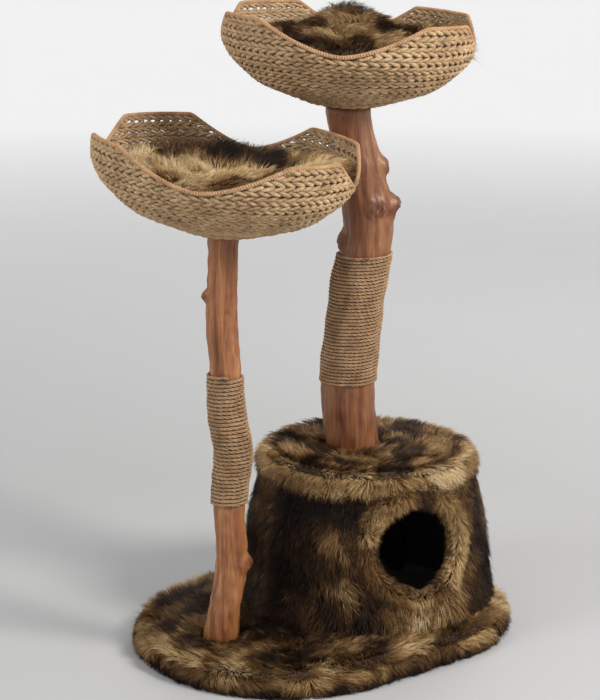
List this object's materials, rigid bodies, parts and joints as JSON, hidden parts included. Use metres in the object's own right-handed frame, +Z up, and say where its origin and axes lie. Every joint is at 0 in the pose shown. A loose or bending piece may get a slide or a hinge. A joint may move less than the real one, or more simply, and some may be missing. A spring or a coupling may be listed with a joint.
{
  "type": "cat tree",
  "caption": "Cat tree with an oval fur-covered base, a round fur hut with an entry hole, and branch posts wrapped in rope that carry woven bowls with fur cushions.",
  "frame": {"origin": "on the floor, under the middle of the base board", "axes": "+Z up, +X along the base from the slim post to the hut, +Y to the back"},
  "size_m": [0.8074, 0.5504, 1.1588],
  "materials": {
    "long_fur": "long pile, brown and cream with black tips",
    "cushion_fur": "long pile, cream with dark brown bands",
    "plywood": "sanded",
    "dark_fabric": "felt",
    "branch_wood": "peeled and lightly oiled",
    "jute_rope": "twisted natural fibre",
    "banana_leaf_cord": "twisted dried leaf",
    "rim_cord": "tightly wrapped",
    "cane_rib": "natural",
    "fibre_filling": "soft wadding",
    "zinc_steel": "zinc plated",
    "dark_steel": "phosphated"
  },
  "bodies": {
    "root": {"back_post": "branch_wood", "back_post_bolt": "zinc_steel", "back_post_rope": "jute_rope", "back_post_screws": "dark_steel", "back_post_washer": "zinc_steel", "back_rope_staples": "dark_steel", "base_board": "plywood", "base_fur_cover": "long_fur", "base_underlay": "dark_fabric", "entry_hole_trim": "long_fur", "front_post": "branch_wood", "front_post_bolt": "zinc_steel", "front_post_rope": "jute_rope", "front_post_screws": "dark_steel", "front_post_washer": "zinc_steel", "front_rope_staples": "dark_steel", "house_battens": "plywood", "house_floor_pad": "dark_fabric", "house_lining": "dark_fabric", "house_screws": "dark_steel", "house_top_board": "plywood", "house_top_fur": "long_fur", "house_wall": "plywood", "house_wall_fur": "long_fur", "lower_basket_binding": "rim_cord", "lower_basket_bolt": "zinc_steel", "lower_basket_disc": "plywood", "lower_basket_ribs": "cane_rib", "lower_basket_screws": "dark_steel", "lower_basket_washer": "zinc_steel", "lower_basket_weave": "banana_leaf_cord", "upper_basket_binding": "rim_cord", "upper_basket_bolt": "zinc_steel", "upper_basket_disc": "plywood", "upper_basket_ribs": "cane_rib", "upper_basket_screws": "dark_steel", "upper_basket_washer": "zinc_steel", "upper_basket_weave": "banana_leaf_cord"},
    "lower_cushion": {"lower_cushion_cover": "cushion_fur", "lower_cushion_filling": "fibre_filling"},
    "upper_cushion": {"upper_cushion_cover": "cushion_fur", "upper_cushion_filling": "fibre_filling"}
  },
  "joints": [
    {"name": "lower_cushion_lift", "type": "slide", "parent": "root", "child": "lower_cushion", "axis": [0.0587, -0.0779, 0.9952], "range_m": [0, 0.06]},
    {"name": "upper_cushion_lift", "type": "slide", "parent": "root", "child": "upper_cushion", "axis": [0.0385, -0.0301, 0.9988], "range_m": [0, 0.15]}
  ]
}
